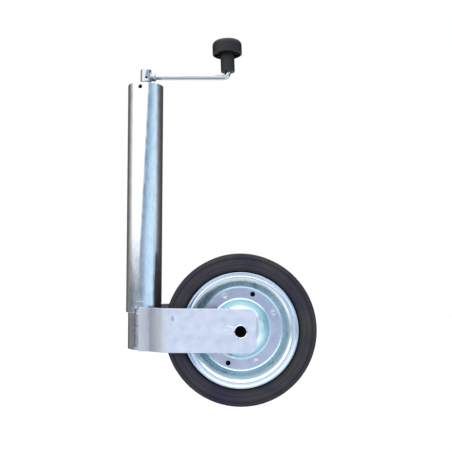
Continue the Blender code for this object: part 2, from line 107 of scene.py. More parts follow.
def make_camera():
    lens = bpy.data.cameras.new("camera")
    lens.lens = CAMERA_LENS
    lens.sensor_width = CAMERA_SENSOR
    camera = bpy.data.objects.new("camera", lens)
    bpy.context.scene.collection.objects.link(camera)
    aim = Matrix.Rotation(-CAMERA_YAW, 4, "Z") @ Matrix.Rotation(math.radians(90) + CAMERA_PITCH, 4, "X")
    camera.matrix_world = Matrix.Translation(CAMERA_PLACE) @ aim @ Matrix.Rotation(CAMERA_ROLL, 4, "Z")
    bpy.context.scene.camera = camera


# ---------------------------------------------------------------- materials

def linear(code, alpha=1.0):
    """An sRGB hex colour as the linear values that the shaders take."""
    parts = [int(code[i:i + 2], 16) / 255 for i in (1, 3, 5)]
    return [p / 12.92 if p <= 0.04045 else ((p + 0.055) / 1.055) ** 2.4 for p in parts] + [alpha]


def wire(tree, node, links):
    """Feeds a node's inputs from sockets, or from the first output in use of other nodes."""
    for name, source in links.items():
        if isinstance(source, bpy.types.Node):
            source = next(socket for socket in source.outputs if socket.enabled)
        tree.links.new(source, node.inputs[name])


def add(tree, kind, links=None, stops=(), **settings):
    """Adds one node: settings are its own properties or its inputs' values, stops are a ramp's colours."""
    node = tree.nodes.new(kind)
    for name, value in settings.items():
        if hasattr(node, name):
            setattr(node, name, value)
        else:
            node.inputs[name.replace("_", " ")].default_value = value
    while stops and len(node.color_ramp.elements) < len(stops):
        node.color_ramp.elements.new(0.5)
    for element, (position, code) in zip(node.color_ramp.elements if stops else (), stops):
        element.position = position
        element.color = linear(code)
    wire(tree, node, links or {})
    return node


def cells(x, y, z):
    """The scale that makes one cell of a pattern x, y and z millimetres."""
    return (1 / (x * MM), 1 / (y * MM), 1 / (z * MM))


def start_material(name, colour, metallic, roughness):
    """A Principled material with its fixed values on the shader's own sockets."""
    material = bpy.data.materials.new(name)
    material.use_nodes = True
    tree = material.node_tree
    shader = tree.nodes["Principled BSDF"]
    shader.inputs["Base Color"].default_value = linear(colour)
    shader.inputs["Metallic"].default_value = metallic
    shader.inputs["Roughness"].default_value = roughness
    place = add(tree, "ShaderNodeTexCoord").outputs["Object"]
    return material, tree, shader, place


def drawn_zinc():
    """Blue-passivated zinc on drawn tube: bright, with a cloudy bloom and faint draw lines along the tube."""
    material, tree, shader, place = start_material("zinc_plated_drawn_tube", "#E4EAF0", 1.0, 0.12)
    patches = add(tree, "ShaderNodeMapping", {"Vector": place}, Scale=cells(6, 6, 13))
    cloud = add(tree, "ShaderNodeTexNoise", {"Vector": patches}, Scale=1.0, Detail=5.0, Roughness=0.62)
    tint = add(
        tree, "ShaderNodeValToRGB", {"Fac": cloud}, [(0.30, "#D3DBE4"), (0.52, "#E4EAF0"), (0.72, "#F1F4F7")],
    )
    along = add(tree, "ShaderNodeMapping", {"Vector": place}, Scale=cells(1.1, 1.1, 70))
    lines = add(tree, "ShaderNodeTexNoise", {"Vector": along}, Scale=1.0, Detail=3.0)
    rough = add(
        tree, "ShaderNodeMapRange", {"Value": cloud}, From_Min=0.3, From_Max=0.7, To_Min=0.08, To_Max=0.17,
    )
    dents = add(tree, "ShaderNodeBump", {"Height": lines}, Strength=0.12, Distance=0.03 * MM)
    bloom = add(tree, "ShaderNodeBump", {"Height": cloud, "Normal": dents}, Strength=0.2, Distance=0.12 * MM)
    wire(tree, shader, {"Base Color": tint, "Roughness": rough, "Normal": bloom})
    return material


# Where the painted shade of the arm's first bend starts, begins to fade and ends, along the arm in mm.
BEND_SHADE_START = -4 * MM
BEND_SHADE_FADE = 24 * MM
BEND_SHADE_END = 42 * MM
NICK_CENTRE = (43.1, -183.7)
NICK_SIZE = (3.0, 5.2)
SCUFF_GLINT_CENTRE = (118.5, -197.0)
SCUFF_GLINT_SIZE = (9.5, 7.5)


def spot_mask(tree, place, centre, half_size):
    """1 inside an upright oval spot on the strip and 0 outside, from its centre and half sizes in mm."""
    x, z = centre
    wide, tall = half_size
    spot = add(
        tree, "ShaderNodeMapping", {"Vector": place}, Location=(-x / wide, 0, -z / tall),
        Scale=(1 / (wide * MM), 0, 1 / (tall * MM)),
    )
    away = add(tree, "ShaderNodeVectorMath", {0: spot}, operation="LENGTH")
    return add(tree, "ShaderNodeMapRange", {"Value": away.outputs["Value"]}, From_Min=1.0, From_Max=0.4)


def sheet_zinc():
    """Blue-passivated zinc on hot-rolled strip: satin, pale blue, with painted shade in a grey band over the
    arm's first bend, greyer towards the tube and fading out towards the tip.
    """
    material, tree, shader, place = start_material("zinc_plated_strip", "#DDE2EE", 1.0, 0.5)
    mottle = add(
        tree, "ShaderNodeTexNoise", {"Vector": place}, Scale=1 / (12 * MM), Detail=6.0, Roughness=0.62,
    )
    tint = add(
        tree, "ShaderNodeValToRGB", {"Fac": mottle},
        [(0.30, "#D2D9EA"), (0.50, "#DCE2F0"), (0.72, "#E4E9F4")],
    )
    spread = add(tree, "ShaderNodeSeparateXYZ", {"Vector": place})
    # painted shade: a grey band along the arm, darkest over the joggle's first bend about 13 mm along,
    # wavering a little, and gone by 42 mm
    reach = add(
        tree, "ShaderNodeMapRange", {"Value": spread.outputs["X"]}, From_Min=BEND_SHADE_START, From_Max=BEND_SHADE_END,
    )
    wobble_scale = add(tree, "ShaderNodeMapping", {"Vector": place}, Scale=cells(10, 10, 34))
    shade_wobble = add(tree, "ShaderNodeTexNoise", {"Vector": wobble_scale}, Scale=1.0, Detail=3.0, Roughness=0.6)
    wander = add(tree, "ShaderNodeMapRange", {"Value": shade_wobble}, To_Min=-0.12, To_Max=0.12)
    where = add(tree, "ShaderNodeMath", {0: reach, 1: wander}, operation="ADD")
    bend_shade = add(
        tree, "ShaderNodeValToRGB", {"Fac": where},
        [
            (0.00, "#CDD3DC"), (0.20, "#C3C7D0"), (0.31, "#B6B8C3"), (0.38, "#A3A3B1"), (0.46, "#AFB0BC"),
            (0.58, "#BFC2CB"), (0.76, "#CBD1D8"), (1.00, "#DCE2F0"),
        ],
    )
    front = add(
        tree, "ShaderNodeMapRange", {"Value": spread.outputs["X"]}, interpolation_type="SMOOTHSTEP",
        From_Min=BEND_SHADE_FADE, From_Max=BEND_SHADE_END,
    )
    bend_shaded = add(tree, "ShaderNodeMix", {"Factor": front, 6: bend_shade, 7: tint}, data_type="RGBA")
    nick = spot_mask(tree, place, NICK_CENTRE, NICK_SIZE)
    marked = add(tree, "ShaderNodeMix", {"Factor": nick, 6: bend_shaded}, data_type="RGBA")
    marked.inputs[7].default_value = linear("#B4BCD0")
    # white streaks beside the axle hole: scratches drawn partly as a painted highlight, pure white in the
    # base colour
    rubs = add(tree, "ShaderNodeMapping", {"Vector": place}, Scale=cells(12, 90, 2.6))
    rub = add(tree, "ShaderNodeTexNoise", {"Vector": rubs}, Scale=1.0, Detail=2.0)
    worn_glint = add(tree, "ShaderNodeMapRange", {"Value": rub}, From_Min=0.46, From_Max=0.56)
    near_axle = spot_mask(tree, place, SCUFF_GLINT_CENTRE, SCUFF_GLINT_SIZE)
    scuff = add(tree, "ShaderNodeMath", {0: worn_glint, 1: near_axle}, operation="MULTIPLY")
    scuff_glinted = add(tree, "ShaderNodeMix", {"Factor": scuff, 6: marked}, data_type="RGBA")
    scuff_glinted.inputs[7].default_value = linear("#FFFFFF")
    grain = add(tree, "ShaderNodeTexNoise", {"Vector": place}, Scale=1 / (1.3 * MM), Detail=4.0)
    rough = add(
        tree, "ShaderNodeMapRange", {"Value": mottle}, From_Min=0.3, From_Max=0.7, To_Min=0.42, To_Max=0.56,
    )
    skin = add(tree, "ShaderNodeBump", {"Height": grain}, Strength=0.3, Distance=0.05 * MM)
    wire(tree, shader, {"Base Color": scuff_glinted, "Roughness": rough, "Normal": skin})
    return material


def pressed_zinc():
    """Blue-passivated zinc on pressed sheet: glossy, cyan and lavender in rings by radius, partly the
    passivation film's tint and partly painted reflection, with a near-white ring on the outer slope.
    """
    material, tree, shader, place = start_material("zinc_plated_pressing", "#D5E6F0", 1.0, 0.2)
    spread = add(tree, "ShaderNodeSeparateXYZ", {"Vector": place})
    flat = add(tree, "ShaderNodeCombineXYZ", {"X": spread.outputs["X"], "Y": spread.outputs["Y"]})
    radius = add(tree, "ShaderNodeVectorMath", {0: flat}, operation="LENGTH")
    share = add(tree, "ShaderNodeMapRange", {"Value": radius}, From_Min=14 * MM, From_Max=78 * MM)
    drift = add(tree, "ShaderNodeTexNoise", {"Vector": place}, Scale=1 / (24 * MM), Detail=2.0)
    wander = add(tree, "ShaderNodeMapRange", {"Value": drift}, To_Min=-0.02, To_Max=0.02)
    where = add(tree, "ShaderNodeMath", {0: share, 1: wander}, operation="ADD")
    # partly painted reflection: the ring colours follow the disc's slopes, lighter where those slopes would
    # catch the bright surroundings
    film = add(
        tree, "ShaderNodeValToRGB", {"Fac": where},
        [
            (0.00, "#EEF3F3"), (0.20, "#EEF2EC"), (0.27, "#CDE8EE"), (0.38, "#CBE8EF"), (0.44, "#D6D9E6"),
            (0.60, "#D9DAE8"), (0.66, "#D6EDF3"), (0.76, "#DAF0F6"), (0.82, "#F6F7F0"), (0.88, "#DCE4F0"),
            (0.94, "#CFE2F6"), (1.00, "#EAF3FA"),
        ],
    )
    rough = add(
        tree, "ShaderNodeMapRange", {"Value": drift}, From_Min=0.3, From_Max=0.7, To_Min=0.22, To_Max=0.33,
    )
    ripple = add(tree, "ShaderNodeTexNoise", {"Vector": place}, Scale=1 / (6 * MM), Detail=3.0)
    skin = add(tree, "ShaderNodeBump", {"Height": ripple}, Strength=0.25, Distance=0.10 * MM)
    wire(tree, shader, {"Base Color": film, "Roughness": rough, "Normal": skin})
    return material


def bright_zinc():
    """Bright zinc on cold-drawn bar: smooth and mirror-like, with faint lengthwise marks."""
    material, tree, shader, place = start_material("bright_zinc_bar", "#C6CCD2", 1.0, 0.16)
    along = add(tree, "ShaderNodeMapping", {"Vector": place}, Scale=cells(18, 0.8, 0.8))
    marks = add(tree, "ShaderNodeTexNoise", {"Vector": along}, Scale=1.0, Detail=3.0)
    tint = add(tree, "ShaderNodeValToRGB", {"Fac": marks}, [(0.3, "#B1B8BE"), (0.7, "#D2D7DC")])
    dents = add(tree, "ShaderNodeBump", {"Height": marks}, Strength=0.3, Distance=0.03 * MM)
    wire(tree, shader, {"Base Color": tint, "Normal": dents})
    return material


def weld_zinc():
    """Zinc over a weld: duller than the sheet round it, with a rough, spattered skin."""
    material, tree, shader, place = start_material("zinc_over_weld", "#BCC5CF", 1.0, 0.34)
    skin = add(tree, "ShaderNodeTexNoise", {"Vector": place}, Scale=1 / (4 * MM), Detail=4.0)
    tint = add(tree, "ShaderNodeValToRGB", {"Fac": skin}, [(0.32, "#8F90A0"), (0.66, "#C2C5D2")])
    ripples = add(tree, "ShaderNodeBump", {"Height": skin}, Strength=0.5, Distance=0.2 * MM)
    wire(tree, shader, {"Base Color": tint, "Normal": ripples})
    return material


def oiled_steel():
    """Ground steel with a film of grease: grey, darker where the grease sits."""
    material, tree, shader, place = start_material("greased_ground_steel", "#8F9093", 1.0, 0.32)
    film = add(tree, "ShaderNodeTexNoise", {"Vector": place}, Scale=1 / (7 * MM), Detail=4.0)
    tint = add(tree, "ShaderNodeValToRGB", {"Fac": film}, [(0.35, "#4A4946"), (0.65, "#A4A5A8")])
    smear = add(tree, "ShaderNodeBump", {"Height": film}, Strength=0.2, Distance=0.05 * MM)
    wire(tree, shader, {"Base Color": tint, "Normal": smear})
    return material


def tyre_rubber():
    """Moulded solid rubber: charcoal and matt, with painted shade in darker rings round the wall, darkest
    beside the rim, and a fine mould texture.
    """
    material, tree, shader, place = start_material("moulded_rubber", "#2C2A33", 0.0, 0.6)
    bloom = add(tree, "ShaderNodeTexNoise", {"Vector": place}, Scale=1 / (46 * MM), Detail=4.0, Roughness=0.6)
    tint = add(
        tree, "ShaderNodeValToRGB", {"Fac": bloom}, [(0.36, "#2F2A40"), (0.50, "#35333E"), (0.64, "#3D3C3D")],
    )
    # painted shade: darker rings by radius across the wall, multiplied into the base colour
    spread = add(tree, "ShaderNodeSeparateXYZ", {"Vector": place})
    flat = add(tree, "ShaderNodeCombineXYZ", {"X": spread.outputs["X"], "Y": spread.outputs["Y"]})
    radius = add(tree, "ShaderNodeVectorMath", {0: flat}, operation="LENGTH")
    share = add(
        tree, "ShaderNodeMapRange", {"Value": radius.outputs["Value"]}, From_Min=78 * MM, From_Max=102 * MM,
    )
    shade_rings = add(
        tree, "ShaderNodeValToRGB", {"Fac": share},
        [
            (0.00, "#9A9A9A"), (0.14, "#D8D8D8"), (0.30, "#FFFFFF"), (0.36, "#C4C4C4"), (0.42, "#FFFFFF"),
            (0.62, "#F0F0F0"), (0.70, "#A8A8A8"), (0.78, "#F2F2F2"), (1.00, "#C8C8C8"),
        ],
    )
    ring_shaded = add(tree, "ShaderNodeMix", {6: tint, 7: shade_rings}, data_type="RGBA", blend_type="MULTIPLY")
    ring_shaded.inputs["Factor"].default_value = 1.0
    shader.inputs["Specular IOR Level"].default_value = 0.22
    grain = add(tree, "ShaderNodeTexNoise", {"Vector": place}, Scale=1 / (1.4 * MM), Detail=5.0)
    skin = add(tree, "ShaderNodeBump", {"Height": grain}, Strength=0.45, Distance=0.12 * MM)
    wire(tree, shader, {"Base Color": ring_shaded, "Normal": skin})
    return material


def knob_plastic():
    """Moulded glass-filled nylon: near-black, satin, with a fine spark-eroded grain."""
    material, tree, shader, place = start_material("moulded_black_nylon", "#232226", 0.0, 0.4)
    cloud = add(tree, "ShaderNodeTexNoise", {"Vector": place}, Scale=1 / (12 * MM), Detail=3.0)
    tint = add(tree, "ShaderNodeValToRGB", {"Fac": cloud}, [(0.3, "#1C1B1D"), (0.7, "#29272C")])
    shader.inputs["Specular IOR Level"].default_value = 0.3
    grain = add(tree, "ShaderNodeTexNoise", {"Vector": place}, Scale=1 / (0.9 * MM), Detail=4.0)
    skin = add(tree, "ShaderNodeBump", {"Height": grain}, Strength=0.4, Distance=0.10 * MM)
    wire(tree, shader, {"Base Color": tint, "Normal": skin})
    return material


def bush_nylon():
    """Natural turned nylon: milky, with turning marks."""
    material, tree, shader, place = start_material("natural_nylon", "#E2DFD2", 0.0, 0.42)
    around = add(tree, "ShaderNodeMapping", {"Vector": place}, Scale=cells(1.2, 1.2, 8))
    marks = add(tree, "ShaderNodeTexNoise", {"Vector": around}, Scale=1.0, Detail=3.0)
    tint = add(tree, "ShaderNodeValToRGB", {"Fac": marks}, [(0.3, "#CFCBBB"), (0.7, "#ECEADF")])
    skin = add(tree, "ShaderNodeBump", {"Height": marks}, Strength=0.3, Distance=0.05 * MM)
    wire(tree, shader, {"Base Color": tint, "Normal": skin})
    return material


def dark_steel_and_painted_shade():
    """Near-black steel with a faint mottle: the spring pins' steel, and painted shade in the axle's bores and
    the hollow between the discs.
    """
    material, tree, shader, place = start_material("oily_steel_and_painted_shade", "#0C0C0D", 0.0, 0.8)
    dark_mottle = add(tree, "ShaderNodeTexNoise", {"Vector": place}, Scale=1 / (5 * MM), Detail=3.0)
    tint = add(tree, "ShaderNodeValToRGB", {"Fac": dark_mottle}, [(0.3, "#060606"), (0.7, "#131314")])
    wire(tree, shader, {"Base Color": tint})
    return material


# ---------------------------------------------------------------- mesh tools

def rounded(corners, closed=False, steps=6):
    """A line through corners of (x, y, fillet in mm), with each corner rounded to its fillet."""
    points = []
    last = len(corners) - 1
    for i, (x, y, fillet) in enumerate(corners):
        here = Vector((x, y))
        if not fillet or (not closed and i in (0, last)):
            points.append(here)
            continue
        before = Vector(corners[i - 1][:2]) - here
        after = Vector(corners[(i + 1) % len(corners)][:2]) - here
        bend = before.angle(after)
        reach = min(fillet / math.tan(bend / 2), before.length * 0.49, after.length * 0.49)
        begin = here + before.normalized() * reach
        end = here + after.normalized() * reach
        for k in range(steps + 1):
            t = k / steps
            points.append(begin * (1 - t) ** 2 + here * 2 * t * (1 - t) + end * t * t)
    return points


def thickened(line, thickness):
    """A closed outline: the line, and back along its other side at the sheet's thickness."""
    other = []
    for i, point in enumerate(line):
        before = (point - line[i - 1]) if i else (line[1] - point)
        after = (line[i + 1] - point) if i + 1 < len(line) else before
        first, second = before.normalized(), after.normalized()
        side = Vector((-first.y, first.x)) + Vector((-second.y, second.x))
        side /= 1 + first.dot(second)
        other.append(point + side * thickness)
    return line + other[::-1]


def divided(line, longest):
    """The line with points added so that no step is longer than the given length."""
    points = [line[0]]
    for a, b in zip(line, line[1:]):
        count = max(1, math.ceil((b - a).length / longest))
        points += [a.lerp(b, (k + 1) / count) for k in range(count)]
    return points


def finish_mesh(shape, name, sharp=32):
    """Turns a bmesh into a smooth mesh whose edges are sharp above the given angle."""
    bmesh.ops.recalc_face_normals(shape, faces=shape.faces)
    mesh = bpy.data.meshes.new(name)
    shape.to_mesh(mesh)
    shape.free()
    mesh.shade_smooth()
    mesh.set_sharp_from_angle(angle=math.radians(sharp))
    return mesh


def put(name, mesh, material, body, node=None, at=None):
    """Places a mesh as a piece of its body, standing for its CAD node and hiding that node."""
    piece = bpy.data.objects.new(name, mesh)
    bpy.context.scene.collection.objects.link(piece)
    MADE.append(piece)
    mesh.materials.clear()
    mesh.materials.append(material)
    if at is not None:
        piece.matrix_world = at
    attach(piece, body)
    if node:
        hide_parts(node)
    return piece


def turned(name, outline, steps=96, closed=True, sharp=32):
    """A mesh turned about Z from (radius, height) points in millimetres."""
    shape = bmesh.new()
    turns = [TURN * k / steps for k in range(steps)]
    rows = []
    for r, z in outline:
        if r < 1e-6:
            rows.append([shape.verts.new((0, 0, z * MM))])
            continue
        rows.append([shape.verts.new((r * MM * math.cos(a), r * MM * math.sin(a), z * MM)) for a in turns])
    pairs = list(zip(rows, rows[1:]))
    if closed:
        pairs.append((rows[-1], rows[0]))
    for a, b in pairs:
        for k in range(steps):
            j = (k + 1) % steps
            corners = [a[k % len(a)], a[j % len(a)], b[j % len(b)], b[k % len(b)]]
            unique = list(dict.fromkeys(corners))
            if len(unique) > 2:
                shape.faces.new(unique)
    return finish_mesh(shape, name, sharp)


def ring_outline(outer, inner, bottom, top, edge=0.4):
    """A plain ring's outline with its four edges broken."""
    corners = [(inner, top, edge), (outer, top, edge), (outer, bottom, edge), (inner, bottom, edge)]
    return rounded(corners, closed=True, steps=3)


def loft(name, rings, sharp=32):
    """Rings of equal count joined in turn, closed at both ends."""
    shape = bmesh.new()
    loops = [[shape.verts.new(point) for point in loop] for loop in rings]
    for low, high in zip(loops, loops[1:]):
        for i in range(len(low)):
            j = (i + 1) % len(low)
            shape.faces.new((low[i], low[j], high[j], high[i]))
    shape.faces.new(loops[0])
    shape.faces.new(loops[-1])
    return finish_mesh(shape, name, sharp)


def prism(name, outline, low, high):
    """A flat outline in metres, extruded along Z from low to high."""
    shape = bmesh.new()
    base = [shape.verts.new((x, y, low)) for x, y in outline]
    face = shape.faces.new(base)
    risen = bmesh.ops.extrude_face_region(shape, geom=[face])["geom"]
    top = [v for v in risen if isinstance(v, bmesh.types.BMVert)]
    bmesh.ops.translate(shape, verts=top, vec=(0, 0, high - low))
    return finish_mesh(shape, name)


def tool(name, mesh, at=None):
    """A cutting shape, which is removed once it has been used."""
    cutter = bpy.data.objects.new(name, mesh)
    bpy.context.scene.collection.objects.link(cutter)
    if at is not None:
        cutter.matrix_world = at
    return cutter


def apply_modifiers(piece):
    bpy.context.view_layer.update()
    graph = bpy.context.evaluated_depsgraph_get()
    mesh = bpy.data.meshes.new_from_object(piece.evaluated_get(graph))
    piece.modifiers.clear()
    piece.data = mesh


def carve(piece, *cutters, operation="DIFFERENCE"):
    for cutter in cutters:
        boolean = piece.modifiers.new("carve", "BOOLEAN")
        boolean.operation = operation
        boolean.object = cutter
    apply_modifiers(piece)
    for cutter in cutters:
        bpy.data.objects.remove(cutter)


def break_edges(piece, width, angle=38, segments=3, sharp=30):
    """Rounds the piece's edges by a small radius, as tumbling and plating do."""
    bevel = piece.modifiers.new("edges", "BEVEL")
    bevel.width = width
    bevel.segments = segments
    bevel.limit_method = "ANGLE"
    bevel.angle_limit = math.radians(angle)
    bevel.harden_normals = False
    apply_modifiers(piece)
    piece.data.shade_smooth()
    piece.data.set_sharp_from_angle(angle=math.radians(sharp))


def even_normals():
    """Keeps broad faces true: their shading normals outweigh those of the small rounded edges beside them."""
    for piece in MADE:
        weighted = piece.modifiers.new("normals", "WEIGHTED_NORMAL")
        weighted.keep_sharp = True
        apply_modifiers(piece)


def drill(radius, length, at, steps=48):
    """A drill shape along Z."""
    half = length / 2
    outline = [(0, half), (radius, half), (radius, -half), (0, -half)]
    return tool("drill", turned("drill", outline, steps, closed=False), at)


def across(azimuth, z):
    """Lays a Z-axis shape through the mast from the near side, turned by azimuth towards +X."""
    return Matrix.Translation((0, 0, z)) @ Matrix.Rotation(azimuth, 4, "Z") @ LOOK_NEAR


# ---------------------------------------------------------------- mast

TUBE_WALL = 2.0
TUBE_STEPS = 192
MIRROR = Matrix.Scale(-1, 4, (0, 1, 0))
PLUG_PIN_AZIMUTH = -math.radians(9.4)
PLUG_PIN_Z = middle("plug_pin_near").z
NOTCH_TOP = ARM_HIGH.z + 1.7 * MM


def make_outer_tube(zinc):
    """The mast's tube, with its pin hole, and the lipped notch in its foot that takes the fork's weld."""
    radius = TUBE_HIGH.x / MM
    low, high = TUBE_LOW.z / MM, TUBE_HIGH.z / MM
    outline = ring_outline(radius, radius - TUBE_WALL, low, high, 0.5)
    tube = put("outer_tube_drawn", turned("outer_tube", outline, TUBE_STEPS), zinc, "mast", "outer_tube")
    base = NOTCH_TOP / MM
    corners = [(12.2, low - 4, 0), (-11.5, low - 4, 0), (-10.6, low + 0.4, 1.5), (-5.8, base + 0.6, 2.0)]
    corners += [(-5.2, base + 5.0, 4.4), (3.6, base + 5.0, 4.4), (4.2, base + 0.2, 1.0), (12.2, base, 0.8)]
    shape = [(x * MM, z * MM) for x, z in rounded(corners, closed=True)]
    notch = tool("notch", prism("notch", shape, -40 * MM, 40 * MM), LOOK_NEAR)
    pin_hole = drill(2.85, 70, across(PLUG_PIN_AZIMUTH, PLUG_PIN_Z))
    carve(tube, notch, pin_hole)
    foot = Vector((0, low)) * MM
    for look in (LOOK_NEAR, LOOK_FAR @ MIRROR):
        rings = []
        for depth, spread in ((19.0, 0.98), (25.0, 1.16)):
            grown = [foot + (Vector(point) - foot) * spread for point in shape]
            rings.append([Vector((x, z, depth * MM)) for x, z in grown])
        carve(tube, tool("notch_lip", loft("notch_lip", rings), look))
    break_edges(tube, 0.3 * MM, segments=2)


def make_mast(zinc, steel, dark_shade_steel):
    make_outer_tube(zinc)
    plug_low, plug_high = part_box("top_plug")
    wide = plug_high.x / MM
    low, high = plug_low.z / MM, plug_high.z / MM
    corners = [
        (6.9, high, 0.3), (9.4, high, 0.3), (10.0, high - 1.0, 0.4), (15.5, high - 1.0, 0.4),
        (16.3, high, 0.4), (wide - 1.2, high, 0.5), (wide, high - 1.4, 0.3), (wide, low, 0.4),
        (6.9, low, 0.3),
    ]
    mesh = turned("top_plug", rounded(corners, True, 3), 128)
    plug = put("top_plug_turned", mesh, steel, "mast", "top_plug")
    carve(plug, drill(2.75, 70, across(PLUG_PIN_AZIMUTH, PLUG_PIN_Z)))
    for side, turn in (("near", 0), ("far", math.pi)):
        at = across(turn + PLUG_PIN_AZIMUTH, PLUG_PIN_Z)
        spring_pin("plug_pin_" + side, 2.45, 11.0, 21.0, dark_shade_steel, "mast", at)
    race("bearing_race_upper", "mast", steel, groove_below=True)


def spring_pin(node, radius, low, high, material, body, at):
    """A rolled spring pin: a thin tube with a slot along it and tapered ends."""
    gap = math.radians(16)
    count = 40
    wall = 0.32 * radius
    rings = []
    for z, shrink in ((low, 0.82), (low + 0.7, 1.0), (high - 0.7, 1.0), (high, 0.82)):
        outer = [gap / 2 + (TURN - gap) * k / (count - 1) for k in range(count)]
        loop = [(radius * shrink * math.cos(a), radius * shrink * math.sin(a)) for a in outer]
        inner = radius * shrink - wall
        loop += [(inner * math.cos(a), inner * math.sin(a)) for a in outer[::-1]]
        rings.append([Vector((x * MM, y * MM, z * MM)) for x, y in loop])
    put(node + "_rolled", loft(node, rings), material, body, node, at)


RACE_BORE = 9.0


def race(node, body, steel, groove_below):
    """A bearing washer with the ball track ground into one face."""
    low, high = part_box(node)
    outer, bottom, top = high.x / MM, low.z / MM, high.z / MM
    reach, depth = 1.5, 0.45
    steps = [math.pi * k / 10 for k in range(11)]
    if groove_below:
        groove = [(BALL_CIRCLE + reach * math.cos(a), bottom + depth * math.sin(a)) for a in steps]
        outline = [(RACE_BORE, bottom), (RACE_BORE, top), (outer, top), (outer, bottom)] + groove
    else:
        groove = [(BALL_CIRCLE - reach * math.cos(a), top - depth * math.sin(a)) for a in steps]
        outline = [(outer, top), (outer, bottom), (RACE_BORE, bottom), (RACE_BORE, top)] + groove
    put(node + "_ground", turned(node, outline, 96), steel, body, node)


def make_bearing(steel):
    race("bearing_race_lower", "screw", steel, groove_below=False)
    cage_low, cage_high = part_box("ball_cage")
    outline = ring_outline(19.0, 11.0, cage_low.z / MM, cage_high.z / MM, 0.3)
    cage = put("ball_cage_pressed", turned("ball_cage", outline, 96), steel, "bearing_cage", "ball_cage")
    drills = []
    for i in range(BALL_COUNT):
        spot = middle(f"ball_{i + 1}")
        radius = size(f"ball_{i + 1}").z / 2
        drills.append(drill(radius / MM + 0.2, 6, Matrix.Translation(spot), 40))
        shape = bmesh.new()
        bmesh.ops.create_uvsphere(shape, u_segments=32, v_segments=20, radius=radius)
        mesh = finish_mesh(shape, "ball", 60)
        put(f"ball_{i + 1}_lapped", mesh, steel, "bearing_cage", f"ball_{i + 1}", Matrix.Translation(spot))
    carve(cage, *drills)


# ---------------------------------------------------------------- screw and crank

LEAD = 4.0
THREAD_ROOT = 6.3
THREAD_CREST = 7.9
PIN_AZIMUTH = math.radians(14)


def thread_shape(low, high, crest, root, steps=36):
    """A thread: one helical ridge swept round the spindle, in millimetres."""
    turns = (high - low) / LEAD
    profile = [(root, 0.0), (root, 0.30), (crest, 0.42), (crest, 0.78), (root, 0.90)]
    shape = bmesh.new()
    rows = []
    total = int(turns * steps)
    for k in range(total + 1):
        turn = TURN * k / steps
        fade = min(1.0, k / steps, (total - k) / steps)
        row = []
        for r, share in profile:
            reach = root + (r - root) * fade
            z = low + LEAD * (k / steps + share)
            point = Vector((reach * math.cos(-turn), reach * math.sin(-turn), z)) * MM
            row.append(shape.verts.new(point))
        rows.append(row)
    for a, b in zip(rows, rows[1:]):
        for i in range(len(profile) - 1):
            shape.faces.new((a[i], a[i + 1], b[i + 1], b[i]))
    for k in range(total + 1 - steps):
        if k + 1 < len(rows) and k + steps + 1 < len(rows):
            shape.faces.new((rows[k][-1], rows[k + steps][0], rows[k + steps + 1][0], rows[k + 1][-1]))
    return shape


def make_spindle(zinc, bar, steel, dark_shade_steel):
    low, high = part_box("spindle")
    bottom, top = low.z / MM, high.z / MM
    flange_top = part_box("bearing_race_lower")[0].z / MM - 0.3
    hub_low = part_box("crank_hub")[0].z / MM
    corners = [
        (0, top, 0), (4.1, top, 0.4), (5.0, top - 0.9, 0.4), (5.0, hub_low - 0.3, 0.2),
        (6.6, hub_low - 0.3, 0.5), (6.6, flange_top, 0.8), (14.0, flange_top, 0.5),
        (14.0, flange_top - 3.6, 0.5),
        (THREAD_ROOT + 0.1, flange_top - 3.6, 0.6), (THREAD_ROOT, flange_top - 6, 0.4),
        (THREAD_ROOT, bottom + 1.4, 0.5), (5.2, bottom, 0.4), (0, bottom, 0),
    ]
    core = turned("spindle", rounded(corners, steps=4), 96, closed=False)
    spindle = put("spindle_machined", core, bar, "screw", "spindle")
    stop_at = across(0, middle("stop_pin").z)
    crank_at = across(PIN_AZIMUTH, middle("crank_pin").z)
    carve(spindle, drill(1.8, 40, crank_at), drill(1.8, 40, stop_at))
    ridge = thread_shape(bottom + 11, flange_top - 9, THREAD_CREST, THREAD_ROOT - 0.1)
    thread = put("spindle_thread_rolled", finish_mesh(ridge, "thread", 50), zinc, "screw")
    washer_low, washer_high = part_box("stop_washer")
    outline = ring_outline(13.0, 8.3, washer_low.z / MM, washer_high.z / MM, 0.5)
    put("stop_washer_blanked", turned("stop_washer", outline, 96), zinc, "screw", "stop_washer")
    spring_pin("stop_pin", 1.55, -11, 11, steel, "screw", stop_at)
    spring_pin("crank_pin", 1.75, -6.6, 6.6, dark_shade_steel, "screw", crank_at)


def make_hub(bar):
    low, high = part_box("crank_hub")
    radius = high.x / MM
    corners = [
        (5.3, high.z / MM, 0.2), (radius - 0.9, high.z / MM, 0.8), (radius, high.z / MM - 1.4, 0.8),
        (radius, low.z / MM, 0.5), (5.3, low.z / MM, 0.2),
    ]
    mesh = turned("crank_hub", rounded(corners, True, 4), 128)
    hub = put("crank_hub_turned", mesh, bar, "screw", "crank_hub")
    carve(hub, drill(1.9, 40, across(PIN_AZIMUTH, middle("crank_pin").z)))


def oval(centre, up, half_height, half_depth, count=48, power=2.0):
    """One section of a bar: an oval square to the heading, whose up direction is given."""
    loop = []
    for i in range(count):
        c, s = math.cos(TURN * i / count), math.sin(TURN * i / count)
        tall = math.copysign(abs(c) ** (2 / power), c) * half_height
        deep = math.copysign(abs(s) ** (2 / power), s) * half_depth
        loop.append(centre + up * tall + Vector((0, deep, 0)))
    return loop


BEND_RADIUS = 6.5 * MM
BAR_HALF_HEIGHT = 3.05 * MM
BAR_HALF_DEPTH = 4.6 * MM
UPRIGHT_RADIUS = 4.15 * MM
WELD_STATIONS = [
    (5.0, 10.4, 6.8, 4.6), (6.0, 9.4, 6.4, 4.9), (7.0, 7.6, 6.0, 5.1), (8.0, 5.6, 5.3, 5.1),
    (8.9, 4.6, 4.8, 5.2), (10.0, 4.7, 5.2, 5.5), (11.4, 5.2, 5.9, 5.8), (12.6, 4.9, 5.6, 5.7),
    (13.6, 4.2, 4.8, 5.4), (14.4, 3.3, 3.7, 4.9),
]


